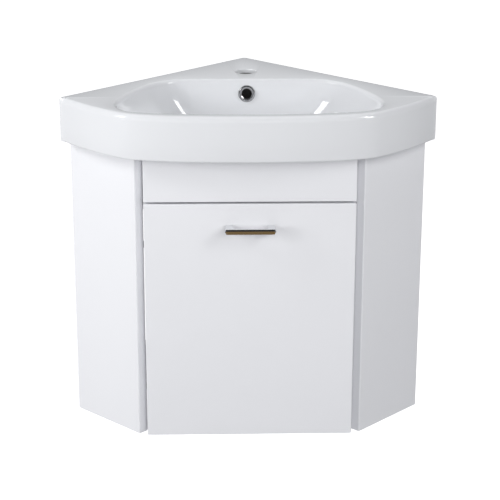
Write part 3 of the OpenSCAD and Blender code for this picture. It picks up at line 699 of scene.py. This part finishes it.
def area(name, az, el, dist, wide, high, power, glossy):
    """A softbox around AIM: az from the front to the right, and el upwards, in degrees."""
    a, b = math.radians(az), math.radians(el)
    away = Vector((math.sin(a) * math.cos(b), -math.cos(a) * math.cos(b), math.sin(b)))
    d = bpy.data.lights.new(name, "AREA")
    d.shape = "RECTANGLE"
    d.size = wide
    d.size_y = high
    d.energy = power
    o = bpy.data.objects.new(name, d)
    bpy.context.scene.collection.objects.link(o)
    o.location = AIM + away * dist
    o.rotation_mode = "QUATERNION"
    o.rotation_quaternion = (-away).to_track_quat("-Z", "Y")
    o.visible_glossy = glossy
    o.visible_camera = False


# name, azimuth and elevation, distance, width and height in metres, watts, seen in reflections
LIGHTS = (("left_strip", -76, 32.5, 2.4, 0.66, 0.66, 14.5, True),
          ("left_mid", -76, 25, 2.4, 0.60, 0.60, 3.6, False),
          ("right_tall", 52, 31, 2.4, 0.50, 0.82, 13.0, True),
          ("right_low", 38, 17, 2.4, 0.90, 0.60, 2.5, False),
          ("left_low", -60, 6, 1.6, 0.58, 0.64, 10.8, False),
          ("front_wide", 5, 6, 1.6, 1.15, 0.80, 5.0, False),
          ("front_up", 8, 22, 1.6, 1.00, 0.50, 3.8, False),
          ("right_fill", 62, 10, 1.6, 0.58, 0.76, 1.6, False),
          ("back_top", 180, 50, 2.3, 1.60, 1.00, 35.8, False))
for row in LIGHTS:
    area(*row)

AMBIENT = 0.18
AMBIENT_COLOR = (0.93, 0.95, 1.0, 1)
WHITE = (1, 1, 1, 1)
world = bpy.data.worlds.new("world")
bpy.context.scene.world = world
world.use_nodes = True
nt = world.node_tree
bg = nt.nodes["Background"]
white = nt.nodes.new("ShaderNodeBackground")
white.inputs["Color"].default_value = WHITE
bg.inputs["Color"].default_value = AMBIENT_COLOR
bg.inputs["Strength"].default_value = AMBIENT
rays = nt.nodes.new("ShaderNodeLightPath")
mix = nt.nodes.new("ShaderNodeMixShader")
nt.links.new(rays.outputs["Is Camera Ray"], mix.inputs["Fac"])
nt.links.new(bg.outputs[0], mix.inputs[1])
nt.links.new(white.outputs[0], mix.inputs[2])
nt.links.new(mix.outputs[0], nt.nodes["World Output"].inputs["Surface"])


# ---------- floor, and two cards in front that the handle mirrors ----------
def flat(name, x0, y0, x1, y1, z, finish):
    """A level sheet of the studio."""
    o = mesh_object(name, [(x0, y0, z), (x1, y0, z), (x1, y1, z), (x0, y1, z)], [(0, 1, 2, 3)],
                    finish)
    return o


FLOOR_Z = -350.0
FLOOR_HALF = 9000
GLOW_NEAR = (0.9, 0.84)                      # metres from the middle, and how much glow there
GLOW_FAR = (2.5, 1.0)
FLOOR = Finish("floor_white", (0.55, 0.55, 0.56), 0.9)
FLOOR.set("Specular IOR Level", 0.0)
tree = FLOOR.tree
rays = tree.nodes.new("ShaderNodeLightPath")
glow = tree.nodes.new("ShaderNodeEmission")
glow.inputs["Color"].default_value = WHITE
spread = tree.nodes.new("ShaderNodeVectorMath")
spread.operation = "LENGTH"
fade = tree.nodes.new("ShaderNodeMapRange")
fade.inputs["From Min"].default_value = GLOW_NEAR[0]
fade.inputs["From Max"].default_value = GLOW_FAR[0]
fade.inputs["To Min"].default_value = GLOW_NEAR[1]
fade.inputs["To Max"].default_value = GLOW_FAR[1]
tree.links.new(FLOOR.coords, spread.inputs[0])
tree.links.new(spread.outputs["Value"], fade.inputs["Value"])
tree.links.new(fade.outputs["Result"], glow.inputs["Strength"])
both = tree.nodes.new("ShaderNodeAddShader")
mix = tree.nodes.new("ShaderNodeMixShader")
tree.links.new(FLOOR.shader.outputs[0], both.inputs[0])
tree.links.new(glow.outputs[0], both.inputs[1])
tree.links.new(rays.outputs["Is Camera Ray"], mix.inputs["Fac"])
tree.links.new(FLOOR.shader.outputs[0], mix.inputs[1])
tree.links.new(both.outputs[0], mix.inputs[2])
tree.links.new(mix.outputs[0], tree.nodes["Material Output"].inputs["Surface"])
flat("floor", -FLOOR_HALF, -FLOOR_HALF, FLOOR_HALF, FLOOR_HALF, FLOOR_Z, FLOOR)
CARD = Finish("brown_card", (0.42, 0.26, 0.09), 0.9)
card = flat("card", -160, -2780, 280, -2380, FLOOR_Z + 5, CARD)
card.visible_camera = False
SCREEN = Finish("dark_card", (0.07, 0.068, 0.064), 0.9)
SCREEN_CORNERS = [(-300, -3300, 200), (500, -3300, 200), (500, -3300, 1100), (-300, -3300, 1100)]
screen = mesh_object("screen", SCREEN_CORNERS, [(0, 1, 2, 3)], SCREEN)
screen.visible_camera = False

bpy.context.scene.view_settings.view_transform = "Standard"
